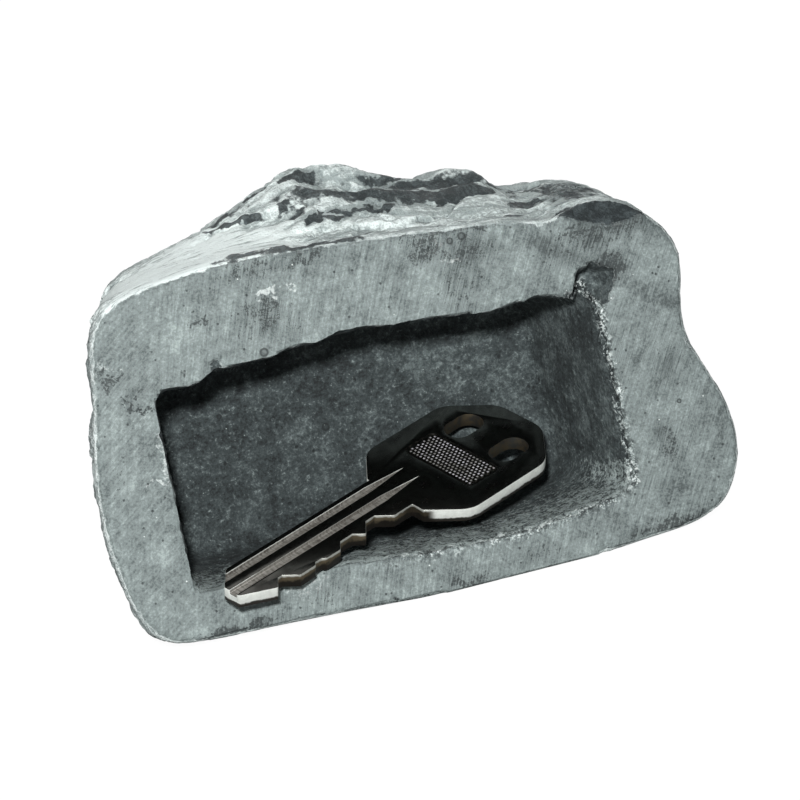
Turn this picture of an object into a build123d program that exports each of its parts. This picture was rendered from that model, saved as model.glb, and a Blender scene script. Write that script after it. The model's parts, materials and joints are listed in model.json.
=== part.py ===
"""Hide-a-key rock: a cast stone-effect rock with a recess in its cut base, and a house key.

Two loose pieces, in millimetres:
  rock_body   one solid casting, sawn flat across its base, with an open recess moulded in the cut
  key         a house key that lies in the recess, its tip over the lower rim

The rock lies on its side, as it does when the key is put in, so the recess looks out to the front.
Both pieces are drawn in the cut face's own frame: X along the recess, Y up the cut face and Z out
of it, from the middle of the recess mouth. The row frame has +Z up, -Y to the front and its origin
under the middle of the whole part.
"""
from build123d import *
import math
import os

# Recess in the cut base
RECESS_LENGTH = 64.0
RECESS_WIDTH = 28.0
RECESS_DEPTH = 26.0
RECESS_CORNER = 1.6         # radius of the four corners at the mouth
FLOOR_FILLET = 2.6          # radius where the walls meet the floor, where the corners are rounder
UPPER_BOW = 2.0             # the upper wall swells up by this much in its middle
LOWER_BOW = 2.3             # the lower wall swells down by this much, right of its middle
LOWER_BOW_AT = 9.0          # where along the rock it is deepest
SHELF_DROP = 0.55           # the same wall's drop where the key's blade crosses it
SHELF_AT = -15.0            # where along the rock that is
LEFT_DRAFT = 3.0            # degrees, so that the mould's core pulls out
RIGHT_DRAFT = 8.0
UPPER_DRAFT = 3.0
LOWER_DRAFT = 2.0

# Stone behind and below the recess, and the way the rock lies
BACK_STONE = 12.0           # from the recess floor to the farthest point of the rock
UNDER_STONE = 9.0           # from the recess to the rest facet, at the cut face
LEAN = 8.0                  # degrees that the cut face leans back

# Stone round the recess on the cut face, clockwise from the left end. A station starts on the
# mouth's rectangle, given as -1 to 1 of its half length and half width, and steps out by the stone
# that is left there: (along, up, stone in X, stone in Y).
STATIONS = [
    (-1.0, 0.0, -10.7, 0.0),
    (-1.0, 1.0, -8.3, 2.0),
    (-1.0, 1.0, -5.0, 12.1),
    (-1.0, 1.0, 1.8, 14.5),
    (-0.5, 1.0, 0.0, 15.5),
    (0.0, 1.0, 0.0, 14.4),
    (0.25, 1.0, 0.0, 13.7),
    (0.5, 1.0, 0.0, 12.9),
    (0.75, 1.0, 0.0, 11.8),
    (1.0, 1.0, -5.5, 11.2),
    (1.0, 1.0, 0.5, 12.0),
    (1.0, 1.0, 9.3, 9.5),
    (1.0, 1.0, 13.6, 3.0),
    (1.0, 0.5, 12.4, 0.0),
    (1.0, 0.0, 14.3, 0.0),
    (1.0, -1.0, 16.8, 1.8),
    (1.0, -1.0, 13.2, -5.4),
    (1.0, -1.0, 2.0, -8.1),
    (0.5, -1.0, 0.0, -9.4),
    (0.0, -1.0, 0.0, -8.6),
    (-0.5, -1.0, 0.0, -7.6),
    (-1.0, -1.0, 0.5, -6.9),
    (-1.0, -1.0, -7.0, -4.5),
    (-1.0, -0.5, -10.4, 0.0),
]

# The rock behind the cut, ring by ring: (share of the whole depth, growth of the left, upper, right
# and lower side, height of the crest). The crest is a hump in the upper side.
RINGS = [
    (0.00, 0.0, 0.0, 0.0, 0.0, 0.0),
    (0.08, 0.3, 0.8, 0.6, 0.6, 0.2),
    (0.26, -2.0, 1.6, 0.6, 1.4, 1.4),
    (0.50, -5.0, 3.6, 0.0, 1.4, 6.8),
    (0.71, -8.5, 2.0, -3.0, 0.5, 5.8),
    (0.90, -14.5, -5.0, -9.0, -4.0, 3.5),
    (1.00, -25.0, -13.0, -20.0, -12.0, 1.5),
]
CREST = [                   # place along the rock, share of the crest's height
    (-40.0, -0.1),
    (-30.0, -0.1),
    (-16.0, 0.22),
    (-4.0, 1.0),
    (0.0, 0.97),
    (8.0, 0.75),
    (16.0, 0.52),
    (24.0, 0.55),
    (27.0, 0.25),
    (33.0, 0.05),
    (50.0, 0.0),
]

# Broken facets round the back. Each looks along a direction and leaves this much stone over the
# place on the recess floor's rim that it passes: (end, side, direction, stone).
FACETS = [
    (-1.0, 1.0, (-0.50, 0.42, -0.76), 4.5),
    (1.0, 1.0, (0.46, 0.50, -0.73), 7.0),
    (1.0, -1.0, (0.55, -0.30, -0.78), 6.0),
    (-1.0, -1.0, (-0.42, -0.48, -0.77), 3.6),
    (0.5, 0.0, (0.20, 0.12, -0.97), 9.6),
    (-0.5, 0.0, (-0.17, -0.10, -0.98), 9.8),
    (0.2, 1.0, (0.10, 0.52, -0.85), 12.6),
    (-0.4, 1.0, (-0.28, 0.60, -0.75), 11.8),
    (0.3, -1.0, (0.12, -0.42, -0.90), 8.6),
    (-1.0, 0.2, (-0.90, 0.16, -0.40), 4.6),
    (1.0, 0.2, (0.86, 0.12, -0.50), 10.2),
]

# Worn hollows in the skin, each a long oval: (middle, half sizes, turn in degrees about Z).
HOLLOWS = [
    ((10.0, 36.6, -17.0), (18.0, 3.2, 3.4), -12.0),
    ((36.0, 26.4, 1.2), (8.6, 3.6, 3.0), -12.0),
]

# House key
KEY_THICKNESS = 2.1
BLADE_WIDTH = 8.5
BLADE_LENGTH = 28.8         # from the tip's shoulder to the bow
TIP_LENGTH = 3.1
TIP_FLAT = 2.8
TIP_RAMP_AT = 2.4           # where the tip's ramp meets the bitted edge
BOW_LENGTH = 27.0
BOW_WIDTH = 20.8
BOW_NECK = 11.0
BOW_END = 8.6
BOW_OFFSET = 0.9            # its middle, towards the bitting from the blade's middle
BOW_ROUNDING = 4.2
BITTING_SLOPE = 45.0        # degrees
BITTING_CLEAR = 1.0         # how far the cutter stands out past the blade's edge
BITTING = [                 # each cut: place along the blade, flat root, depth
    (3.9, 0.8, 1.8),
    (10.2, 1.2, 0.5),
    (16.6, 2.4, 1.3),
    (22.2, 1.8, 2.0),
]
GROOVE_DEPTH = 0.55
GROOVES = [(0.8, 1.3), (3.8, 1.4)]   # distance from the plain edge, width
GROOVE_OVERRUN = 5.4        # how far the grooves run on into the bow
GROOVE_POINT = 7.0          # length of their tapered ends
PANEL_LENGTH = 6.4          # recessed grip panel across the bow
PANEL_WIDTH = 13.4
PANEL_DEPTH = 0.25
PANEL_GAP = 1.0             # from the panel to the slots
SLOT_LENGTH = 6.6
SLOT_WIDTH = 4.2
SLOT_SPACING = 8.8
SLOT_FROM_END = 7.6         # from the bow's far end to the slots' middle

# How the key lies: on the lower rim, with its bow against the recess floor
KEY_SKEW = 30.8             # degrees from the rock's length, bow inwards
KEY_TILT = 29.3             # degrees that its upper face leans out
KEY_ROLL = 4.1              # degrees that its bow end dips
KEY_FROM_LEFT = 4.1         # from the recess's left end to the tip's shoulder
SEAT_GAP = 0.15             # running gap where the key touches stone

body_depth = RECESS_DEPTH + BACK_STONE
half_length = RECESS_LENGTH / 2
half_width = RECESS_WIDTH / 2


def station_point(station):
    along, up, stone_x, stone_y = station
    return along * half_length + stone_x, up * half_width + stone_y


cut_points = [station_point(station) for station in STATIONS]
left_reach = -min(x for x, y in cut_points)
right_reach = max(x for x, y in cut_points)
upper_reach = max(y for x, y in cut_points)
lower_reach = -min(y for x, y in cut_points)


def crest_share(x):
    """How much of the crest's height stands up at a place along the rock."""
    for (start, low), (end, high) in zip(CREST, CREST[1:]):
        if start <= x <= end:
            return low + (high - low) * (x - start) / (end - start)
    return 0.0


def ring_face(share, left, upper, right, lower, crest):
    """One section of the rock, parallel to the cut face."""
    points = []
    for x, y in cut_points:
        side_x = left / left_reach if x < 0 else right / right_reach
        side_y = lower / lower_reach if y < 0 else upper / upper_reach
        hump = crest * crest_share(x) if y > half_width else 0.0
        points.append((x * (1 + side_x), y * (1 + side_y) + hump))
    upwards = (0, 1)
    outline = Spline(*points, points[0], tangents=[upwards, upwards])
    return Pos(0, 0, -share * body_depth) * make_face(outline)


def recess_outline(corner, inset_left, inset_upper, inset_right, inset_lower):
    """The recess's section, with each wall brought in by its draft."""
    left, right = -half_length + inset_left, half_length - inset_right
    bottom, top = -half_width + inset_lower, half_width - inset_upper
    floor_line = Spline((left, bottom), (SHELF_AT, bottom - SHELF_DROP),
                        (LOWER_BOW_AT, bottom - LOWER_BOW), (right, bottom))
    roof_line = ThreePointArc((right, top), ((left + right) / 2, top + UPPER_BOW), (left, top))
    ends = [Line((right, bottom), (right, top)), Line((left, top), (left, bottom))]
    outline = make_face([floor_line, ends[0], roof_line, ends[1]])
    return fillet(outline.vertices(), corner)


def recess():
    """The space in the rock, from its floor to a little way out of the cut face."""
    insets = [RECESS_DEPTH * math.tan(math.radians(draft))
              for draft in (LEFT_DRAFT, UPPER_DRAFT, RIGHT_DRAFT, LOWER_DRAFT)]
    mouth = recess_outline(RECESS_CORNER, 0, 0, 0, 0)
    floor = recess_outline(RECESS_CORNER + FLOOR_FILLET, *insets)
    space = loft([mouth, Pos(0, 0, -RECESS_DEPTH) * floor])
    space = fillet(space.faces().sort_by(Axis.Z)[0].edges(), FLOOR_FILLET)
    return space + extrude(mouth, RECESS_CORNER)


def rock_body():
    rock = loft([ring_face(*ring) for ring in RINGS])
    for end, side, direction, stone in FACETS:
        normal = Vector(*direction).normalized()
        corner = Vector(end * half_length, side * half_width, -RECESS_DEPTH)
        rock = split(rock, Plane(origin=corner + normal * stone, z_dir=normal), keep=Keep.BOTTOM)
    for middle, half_sizes, turn in HOLLOWS:
        rock -= Pos(*middle) * Rot(Z=turn) * scale(Sphere(1), by=half_sizes)
    lean = math.radians(LEAN)
    rest = Plane(origin=(0, -half_width - UNDER_STONE, 0), z_dir=(0, math.cos(lean), math.sin(lean)))
    rock = split(rock, rest, keep=Keep.TOP)
    return rock - recess()


def bitting_cut(at, flat, cut):
    """One cut in the blade's lower edge: a flat root between two slopes."""
    slope = math.tan(math.radians(BITTING_SLOPE))
    mouth = flat / 2 + (cut + BITTING_CLEAR) / slope
    outline = Polyline((-mouth, -BITTING_CLEAR), (-flat / 2, cut), (flat / 2, cut),
                       (mouth, -BITTING_CLEAR), close=True)
    return Pos(at, -BLADE_WIDTH) * make_face(outline)


def blade_outline():
    """The blade from above, its plain edge on Y = 0 and its bitting towards -Y."""
    tip_inset = (BLADE_WIDTH - TIP_FLAT) / 2
    inside_bow = BLADE_LENGTH + BOW_ROUNDING
    blade = make_face(Polyline((inside_bow, 0), (0, 0), (-TIP_LENGTH, -tip_inset),
                               (-TIP_LENGTH, tip_inset - BLADE_WIDTH), (TIP_RAMP_AT, -BLADE_WIDTH),
                               (inside_bow, -BLADE_WIDTH), close=True))
    for cut in BITTING:
        blade -= bitting_cut(*cut)
    return blade


def bow_outline():
    """The bow from above: a long octagon with rounded corners."""
    middle = -BLADE_WIDTH / 2 - BOW_OFFSET
    far = BLADE_LENGTH + BOW_LENGTH
    shoulder = (BOW_WIDTH - BOW_NECK) / 2
    corner = (BOW_WIDTH - BOW_END) / 2
    upper = [(BLADE_LENGTH, BOW_NECK / 2), (BLADE_LENGTH + shoulder, BOW_WIDTH / 2),
             (far - corner, BOW_WIDTH / 2), (far, BOW_END / 2)]
    lower = [(x, -y) for x, y in reversed(upper)]
    outline = make_face(Polyline(*[(x, middle + y) for x, y in upper + lower], close=True))
    rounded = [v for v in outline.vertices() if v.X > BLADE_LENGTH + shoulder / 2]
    return fillet(rounded, BOW_ROUNDING)


def groove(from_edge, width):
    """A milled groove along the blade, running out to a point beside the bow."""
    start, end = -TIP_LENGTH, BLADE_LENGTH + GROOVE_OVERRUN
    middle = -from_edge - width / 2
    points = [(start, middle + width / 2), (end - GROOVE_POINT, middle + width / 2), (end, middle),
              (end - GROOVE_POINT, middle - width / 2), (start, middle - width / 2)]
    return extrude(make_face(Polyline(*points, close=True)), -GROOVE_DEPTH)


def flat_key():
    """The key lying flat, its upper face on Z = 0 and its tip's shoulder at the origin."""
    outline = blade_outline() + bow_outline()
    middle = -BLADE_WIDTH / 2 - BOW_OFFSET
    slot_at = BLADE_LENGTH + BOW_LENGTH - SLOT_FROM_END
    for side in (-1, 1):
        outline -= Pos(slot_at, middle + side * SLOT_SPACING / 2) * SlotOverall(SLOT_LENGTH, SLOT_WIDTH)
    key = extrude(outline, -KEY_THICKNESS)
    panel_at = slot_at - (SLOT_LENGTH + PANEL_LENGTH) / 2 - PANEL_GAP
    for face_height in (0, PANEL_DEPTH - KEY_THICKNESS):
        panel = extrude(RectangleRounded(PANEL_LENGTH, PANEL_WIDTH, 1), -PANEL_DEPTH)
        key -= Pos(panel_at, middle, face_height) * panel
    for from_edge, width in GROOVES:
        key -= groove(from_edge, width)
    return key


def key():
    """The key as it lies in the recess."""
    lying = Rot(Z=-KEY_ROLL) * Rot(X=KEY_TILT) * Rot(X=-90) * Rot(Z=KEY_SKEW)
    placed = lying * flat_key()
    face_normal = (lying * Plane.XY).z_dir
    x = KEY_FROM_LEFT - half_length
    z = SEAT_GAP - RECESS_DEPTH - placed.bounding_box().min.Z
    # The underside passes SEAT_GAP above the shelf in the lower rim
    drop = face_normal.X * (SHELF_AT - x) - face_normal.Z * z
    y = -half_width - SHELF_DROP + (KEY_THICKNESS + SEAT_GAP + drop) / face_normal.Y
    return Pos(x, y, z) * placed


lay_down = Rot(X=90 - LEAN)
pieces = {"rock_body": lay_down * rock_body(), "key": lay_down * key()}
whole = pieces["rock_body"].bounding_box().add(pieces["key"].bounding_box())
flats = pieces["rock_body"].faces().filter_by(GeomType.PLANE)
ground = min(face.center().Z for face in flats)     # the rest facet is the lowest of them
to_origin = Pos(-whole.center().X, -whole.center().Y, -ground)

os.makedirs("parts", exist_ok=True)
for name, piece in pieces.items():
    export_step(to_origin * piece, f"parts/{name}.step")
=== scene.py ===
import json
import math

import bmesh
import bpy
from mathutils import Matrix, Vector, kdtree, noise


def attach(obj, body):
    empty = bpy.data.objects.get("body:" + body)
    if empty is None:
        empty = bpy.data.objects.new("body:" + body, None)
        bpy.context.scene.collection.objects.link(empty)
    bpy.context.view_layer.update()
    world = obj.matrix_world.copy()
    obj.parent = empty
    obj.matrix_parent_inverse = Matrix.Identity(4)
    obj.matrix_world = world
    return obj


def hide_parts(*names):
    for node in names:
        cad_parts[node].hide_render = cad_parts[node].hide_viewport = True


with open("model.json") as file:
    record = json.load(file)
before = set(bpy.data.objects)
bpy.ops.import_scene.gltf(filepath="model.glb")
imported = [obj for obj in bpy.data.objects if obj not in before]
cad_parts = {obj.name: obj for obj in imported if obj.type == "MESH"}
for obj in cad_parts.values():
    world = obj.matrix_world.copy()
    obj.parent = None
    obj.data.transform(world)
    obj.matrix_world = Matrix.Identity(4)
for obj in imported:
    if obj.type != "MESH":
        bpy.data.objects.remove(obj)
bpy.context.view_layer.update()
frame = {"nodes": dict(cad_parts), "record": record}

# --- Rock --------------------------------------------------------------------------------------
# One casting of stone-filled resin: layered broken stone outside, a face that was sawn and sanded
# across, and a rough recess that the mould's core left. It is re-meshed evenly from the CAD solid
# and gets its skin, its chips and its ragged recess rim there.

# The rock lies on its side with its cut base to the front, leaning back. Shapes and patterns are
# placed in the cut face's own frame, in millimetres: X along the recess, Y up the face, Z out of it,
# from the middle of the recess's mouth.
MM = 0.001
MOUNT_ABOVE_MOUTH = 20.0    # how far up the face the mount is from the mouth's middle

mounts = {mount["name"]: mount for mount in frame["record"]["mounts"]}
outward = Vector(mounts["cut_base"]["axis"]).normalized()
along = Vector((1.0, 0.0, 0.0))
up_face = outward.cross(along)
mouth = Vector(mounts["cut_base"]["pos_m"]) - up_face * MOUNT_ABOVE_MOUTH * MM
face_turn = Matrix((along, up_face, outward)).transposed()
face_to_row = Matrix.Translation(mouth) @ face_turn.to_4x4() @ Matrix.Scale(MM, 4)
row_to_face = face_to_row.inverted()

EVEN_MESH = 0.52            # spacing of the points
RECESS_END = 33.4           # a little more than the recess's half length
RECESS_SIDE = 17.5          # and its half width with the walls' bow
RECESS_BACK = -27.2         # a little behind its floor
ON_PLANE = 0.3              # how close a point is to a plane that it lies on
SPOT_SPACING = 0.3          # of the places along the cut face's edges that gaps are measured to
EDGE_EASE = 0.8             # how far from these edges the even mesh is eased
EDGE_PASSES = 5
RELIEF_PASSES = 24          # smoothing passes that part small relief from the form below it
STONE_SHARP = 38.0          # degrees between faces past which an edge stays sharp

# Broken skin. Where two numbers stand for a change, it starts at the first and ends at the second.
STONE_SEED = 8              # the tilts of the flats follow from it
BEDDING = Vector((0.10, 0.50, 0.86)).normalized()   # the stone's layers lie across this
LAYER = 1.7                 # usual thickness of a layer
LAYER_HEIGHT = 0.4
LAYER_WAVES = [(9.0, 1.3), (2.4, 0.2)]      # their bends: (size, height in layers)
LAYER_PATCHES = 8.0         # size of the places where they show
LAYER_RISE = (0.0, 0.75)    # a layer rises over this share of its thickness
LAYER_BREAK = (0.85, 1.0)   # and breaks off over this one
FLAT_SIZE = 8.0             # usual size of a broken flat
FLAT_LENGTHEN = 0.5         # the flats run along the rock
FLAT_TILT = 2.4             # its steepness
FLAT_HEIGHT = 0.55
CHIP_SIZE = 3.2             # usual size of a small flat on it
CHIP_TILT = 1.0
CHIP_HEIGHT = 0.3
SEAM = 0.2                  # width of the seam round a flat, as a share of its size
SEAM_DEPTH, CRACK_DEPTH = 0.25, 0.12
GRAIN_SIZE, GRAIN_HEIGHT = 1.9, 0.16
DEEPEST, HIGHEST = -0.9, 0.7
FADE_FROM_CUT = (0.3, 3.5)  # the skin is level beside the cut face's edge and rough past it
FADE_FROM_REST = (0.2, 2.5)  # and level again at the side that it rests on
UPPER_SIDE = (20.0, 25.0)   # height where the upper side starts

# Edges of the cut face. Lumps are given as (size, height).
CHIP_REACH = 1.4            # how far chips reach from the outer edge
CHIP_DEPTH = 1.1
CHIP_LUMPS = [(3.1, 1.0), (1.1, 0.3)]
CHIPS_FROM = 0.22           # lumps lower than this leave the edge whole
RIM_REACH = 5.0             # how far the recess's ragged rim reaches into it
UPPER_WALL = 9.0            # height past which the rim is the upper one
END_WALLS = 29.0            # place along the rock past which it is that of an end
KEY_ON_RIM = (-29.0, -9.0)  # where the blade lies on the lower rim
UPPER_RIM_LUMPS = (0.9, 0.12)
LOWER_RIM_LUMPS = (1.4, 0.45)
END_RIM_LUMPS = [(1.6, 1.0), (0.7, 0.5)]
RIGHT_RIM, LEFT_RIM = 0.9, -0.4     # how far the end walls' rims are bitten
BITE_LUMPS = (1.3, 0.8)
HOLLOW_LUMPS = (1.7, 0.6)
RECESS_INSET = 0.26         # the recess's skin lies back by this much, and its lumps rise from there
RECESS_LUMPS = (2.6, 0.24)
BITE_SHADE_REACH = 7.0           # how far from the mouth bites get the recess's dark colour, painted shade in them

# The ragged upper rim of the recess: (along, how far it is bitten up or hangs down).
UPPER_RIM = [
    (-33, 0.0), (-29, -0.4), (-25.5, -0.8), (-23, 0.4), (-20.5, -0.2), (-15, -0.3), (-11, 0.1),
    (-8.5, -0.4), (-5, 0.5), (-1, 0.3), (3, -0.4), (8, -0.5), (12, -0.9), (17, -1.2), (20, -0.7),
    (24, 0.1), (27, -0.4), (29.5, -0.9), (31, 0.4), (33, 1.5),
]
# Bites out of edges: (centre, radius, depth). The first took the recess's upper right corner off.
BITES = [
    ((32.6, 14.9, -0.5), 3.5, 4.6), ((29.6, 14.6, 0.0), 1.5, 1.2), ((45.6, 4.0, 0.0), 2.0, 0.6),
    ((-23.0, 15.4, 0.0), 1.6, 0.6), ((-39.0, 17.0, 0.0), 1.8, 0.25),
]
# Small hollows worn in the upper side, each along a line: (start, end, half width, depth).
HOLLOWS = [
    ((-20.0, 30.4, -1.2), (-3.0, 29.4, -1.0), 0.8, 0.8),
    ((-12.0, 33.5, -13.0), (-5.0, 34.0, -12.5), 1.8, 0.6),
    ((8.0, 30.0, -5.5), (22.0, 28.5, -8.0), 1.4, 0.5),
]
# The scoop that the saw didn't reach, on the upper edge at the right.
SCOOP = Vector((36.0, 26.4, 1.2))
SCOOP_SIZE = Vector((8.6, 3.6, 3.0))
SCOOP_TURN = -12.0
SCOOP_EDGE = (0.95, 1.3)    # shares of its size between which its edge lies
SCOOP_CALM = 0.8            # share of the skin's roughness that it lacks
# The calm flat on the upper side's left half, along the rock and inwards.
CALM = Vector((-24.0, -7.0))
CALM_SIZE = Vector((17.0, 10.0))
CALM_EDGE = (0.6, 1.1)
CALM_SHARE = 0.75           # share of the skin's roughness that it lacks

noise.seed_set(STONE_SEED)


def smooth(low, high, value):
    """0 below low, 1 above high and smooth between."""
    share = min(max((value - low) / (high - low), 0.0), 1.0)
    return share * share * (3 - 2 * share)


def from_line(table, value):
    """Reads a table of (place, amount) at value, straight between its rows."""
    for (start, low), (end, high) in zip(table, table[1:]):
        if start <= value <= end:
            return low + (high - low) * (value - start) / (end - start)
    return 0.0


def line_distance(point, start, end):
    run = end - start
    share = min(max((point - start).dot(run) / run.length_squared, 0.0), 1.0)
    return (point - start - run * share).length


def lump(place, kind):
    """Height of the lumps of one kind, given as (size, height)."""
    size, height = kind
    return height * noise.noise(place / size)


def flats(place, tilt_by):
    """Height of one tilted flat for each cell, and how near its seam is."""
    distances, centres = noise.voronoi(place)
    tilt = noise.noise_vector(centres[0] * 5.3)
    return (place - centres[0]).dot(tilt) * tilt_by, 1 - smooth(0.0, SEAM, distances[1] - distances[0])


def broken_stone(point):
    """Height of the rough skin: tilted flats, the edges of the stone's layers, chips and grain."""
    place = Vector((point.x * FLAT_LENGTHEN, point.y, point.z)) / FLAT_SIZE
    flat, seam = flats(place + noise.noise_vector(place * 1.7) * 0.25, FLAT_TILT)
    small = point / CHIP_SIZE
    chip, crack = flats(small + noise.noise_vector(small * 1.3) * 0.3, CHIP_TILT)
    depth = point.dot(BEDDING) / LAYER
    for wave in LAYER_WAVES:
        depth += lump(point, wave)
    step = depth - math.floor(depth)
    layers = smooth(*LAYER_RISE, step) - smooth(*LAYER_BREAK, step) - 0.4
    layers *= smooth(-0.1, 0.4, noise.noise(point / LAYER_PATCHES + Vector((3.0, 0.0, 0.0))))
    grain = noise.fractal(point / GRAIN_SIZE, 0.8, 2.1, 3)
    calm = Vector(((point.x - CALM.x) / CALM_SIZE.x, (point.z - CALM.y) / CALM_SIZE.y)).length
    rough = 1 - CALM_SHARE * (1 - smooth(*CALM_EDGE, calm)) * smooth(*UPPER_SIDE, point.y)
    height = FLAT_HEIGHT * flat - SEAM_DEPTH * seam + LAYER_HEIGHT * layers
    height += CHIP_HEIGHT * chip - CRACK_DEPTH * crack + GRAIN_HEIGHT * grain
    return min(max(height * rough, DEEPEST), HIGHEST)


def even_mesh(node, size):
    """A copy of a CAD node in the cut face's frame, with its points spread evenly."""
    mesh = frame["nodes"][node].data.copy()
    stone = bmesh.new()
    stone.from_mesh(mesh)
    bmesh.ops.remove_doubles(stone, verts=stone.verts, dist=1e-6)
    bmesh.ops.transform(stone, matrix=row_to_face, verts=stone.verts)
    stone.normal_update()
    edges = cut_edges(stone)
    stone.to_mesh(mesh)
    stone.free()
    rough = bpy.data.objects.new("rough", mesh)
    bpy.context.collection.objects.link(rough)
    remesh = rough.modifiers.new("even", "REMESH")
    remesh.mode = "VOXEL"
    remesh.voxel_size = size
    evaluated = rough.evaluated_get(bpy.context.evaluated_depsgraph_get())
    even = bpy.data.meshes.new_from_object(evaluated)
    bpy.data.objects.remove(rough)
    bpy.data.meshes.remove(mesh)
    return even, edges


def cut_edges(stone):
    """Search trees of points along the cut face's edges: round the recess, and round the rock."""
    spots = {"mouth": [], "arris": []}
    for edge in stone.edges:
        flat = [face.normal.z > 0.999 and abs(face.calc_center_median().z) < ON_PLANE
                for face in edge.link_faces]
        if flat.count(True) != 1:
            continue
        start, end = (vert.co for vert in edge.verts)
        middle = (start + end) / 2
        inside = abs(middle.x) < RECESS_END and abs(middle.y) < RECESS_SIDE
        steps = max(2, int((end - start).length / SPOT_SPACING))
        points = [start.lerp(end, step / steps) for step in range(steps + 1)]
        spots["mouth" if inside else "arris"] += points
    trees = {}
    for name, points in spots.items():
        trees[name] = kdtree.KDTree(len(points))
        for index, point in enumerate(points):
            trees[name].insert(point, index)
        trees[name].balance()
    return trees


def ease(stone, verts, passes):
    """Evens points out among their neighbours."""
    for passing in range(passes):
        bmesh.ops.smooth_vert(stone, verts=verts, factor=0.5,
                              use_axis_x=True, use_axis_y=True, use_axis_z=True)


def in_scoop(place):
    """1 in the scoop, 0 outside it."""
    offset = Matrix.Rotation(-math.radians(SCOOP_TURN), 3, "Z") @ (place - SCOOP)
    reach = Vector([offset[axis] / SCOOP_SIZE[axis] for axis in range(3)]).length
    return 1 - smooth(*SCOOP_EDGE, reach)


def rough_skin(place):
    """Height of the rough skin with its worn hollows."""
    height = broken_stone(place)
    for start, end, half_width, depth in HOLLOWS:
        gap = line_distance(place, Vector(start), Vector(end)) + lump(place, HOLLOW_LUMPS)
        height -= depth * (1 - smooth(0.3 * half_width, half_width, gap))
    return height


def edge_chip(place, arris_gap):
    """Depth of the chips along the outer edge of the cut face."""
    chip = max(0.0, sum(lump(place, kind) for kind in CHIP_LUMPS) - CHIPS_FROM)
    return CHIP_DEPTH * chip * (1 - arris_gap / CHIP_REACH)


def ragged_rim(place, normal, rim_gap):
    """How the recess's rim is moved: bitten up and down above, outwards at the ends and below."""
    near_mouth = 1 - smooth(0.0, RIM_REACH, rim_gap)
    faces_end = normal.x ** 2 > 0.6
    if place.y > UPPER_WALL and not faces_end:
        rise = from_line(UPPER_RIM, place.x) + lump(place, UPPER_RIM_LUMPS)
        return Vector((0, rise * near_mouth, 0))
    if abs(place.x) > END_WALLS:
        ragged = sum(abs(lump(place, kind)) for kind in END_RIM_LUMPS)
        return Vector(((RIGHT_RIM if place.x > 0 else LEFT_RIM) * ragged * near_mouth, 0, 0))
    if not KEY_ON_RIM[0] < place.x < KEY_ON_RIM[1]:
        return Vector((0, -abs(lump(place, LOWER_RIM_LUMPS)) * near_mouth, 0))
    return Vector()


def work_stone(even, edges):
    """Moves the evenly spread points into a cast rock's skin and stores what its finish needs."""
    stone = bmesh.new()
    stone.from_mesh(even)
    stone.normal_update()
    layers = {name: stone.verts.layers.float.new(name) for name in
              ("recess", "rim_gap", "arris_gap", "relief", "scoop")}
    rest = (row_to_face.to_3x3() @ Vector((0, 0, 1))).normalized()
    row_floor = row_to_face @ Vector((0, 0, 0))
    near = [vert for vert in stone.verts
            if min(tree.find(vert.co)[2] for tree in edges.values()) < EDGE_EASE]
    ease(stone, near, EDGE_PASSES)
    stone.normal_update()
    targets = []
    for vert in stone.verts:
        place, normal = vert.co.copy(), vert.normal.copy()
        rim_gap = edges["mouth"].find(place)[2]
        arris_gap = edges["arris"].find(place)[2]
        inside = abs(place.x) < RECESS_END and abs(place.y) < RECESS_SIDE
        in_recess = inside and -ON_PLANE > place.z > RECESS_BACK
        scooped = in_scoop(place)
        if in_recess:
            size, height = RECESS_LUMPS
            move = normal * (-RECESS_INSET - height * noise.fractal(place / size, 0.8, 2.2, 4))
        elif place.z > -ON_PLANE:
            move = Vector((0, 0, -place.z))
        else:
            away = smooth(*FADE_FROM_CUT, arris_gap) * (1 - SCOOP_CALM * scooped)
            away *= smooth(*FADE_FROM_REST, (place - row_floor).dot(rest))
            move = normal * rough_skin(place) * away
        if arris_gap < CHIP_REACH and not in_recess:
            move.z -= edge_chip(place, arris_gap)
        if inside and rim_gap < RIM_REACH:
            move += ragged_rim(place, normal, rim_gap)
        for centre, radius, depth in BITES:
            gap = (place - Vector(centre)).length + lump(place, BITE_LUMPS)
            move.z -= depth * (1 - smooth(0.45 * radius, radius, gap))
        # Bites near the mouth take the recess's dark colour as painted shade.
        vert[layers["recess"]] = float(in_recess or rim_gap < BITE_SHADE_REACH)
        vert[layers["rim_gap"]] = rim_gap
        vert[layers["arris_gap"]] = arris_gap
        vert[layers["scoop"]] = scooped
        targets.append(place + move)
    for vert, target in zip(stone.verts, targets):
        below = (target - row_floor).dot(rest)
        vert.co = target - rest * min(below, 0.0)
    store_relief(stone, layers["relief"])
    bmesh.ops.transform(stone, matrix=face_to_row, verts=stone.verts)
    for face in stone.faces:
        face.smooth = True
    stone.to_mesh(even)
    stone.free()
    even.set_sharp_from_angle(angle=math.radians(STONE_SHARP))


def store_relief(stone, layer):
    """Stores how far each point stands out of the form, or lies in it, in millimetres."""
    stone.normal_update()
    places = [vert.co.copy() for vert in stone.verts]
    normals = [vert.normal.copy() for vert in stone.verts]
    ease(stone, stone.verts, RELIEF_PASSES)
    for vert, place, normal in zip(stone.verts, places, normals):
        vert[layer] = (place - vert.co).dot(normal)
        vert.co = place


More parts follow.
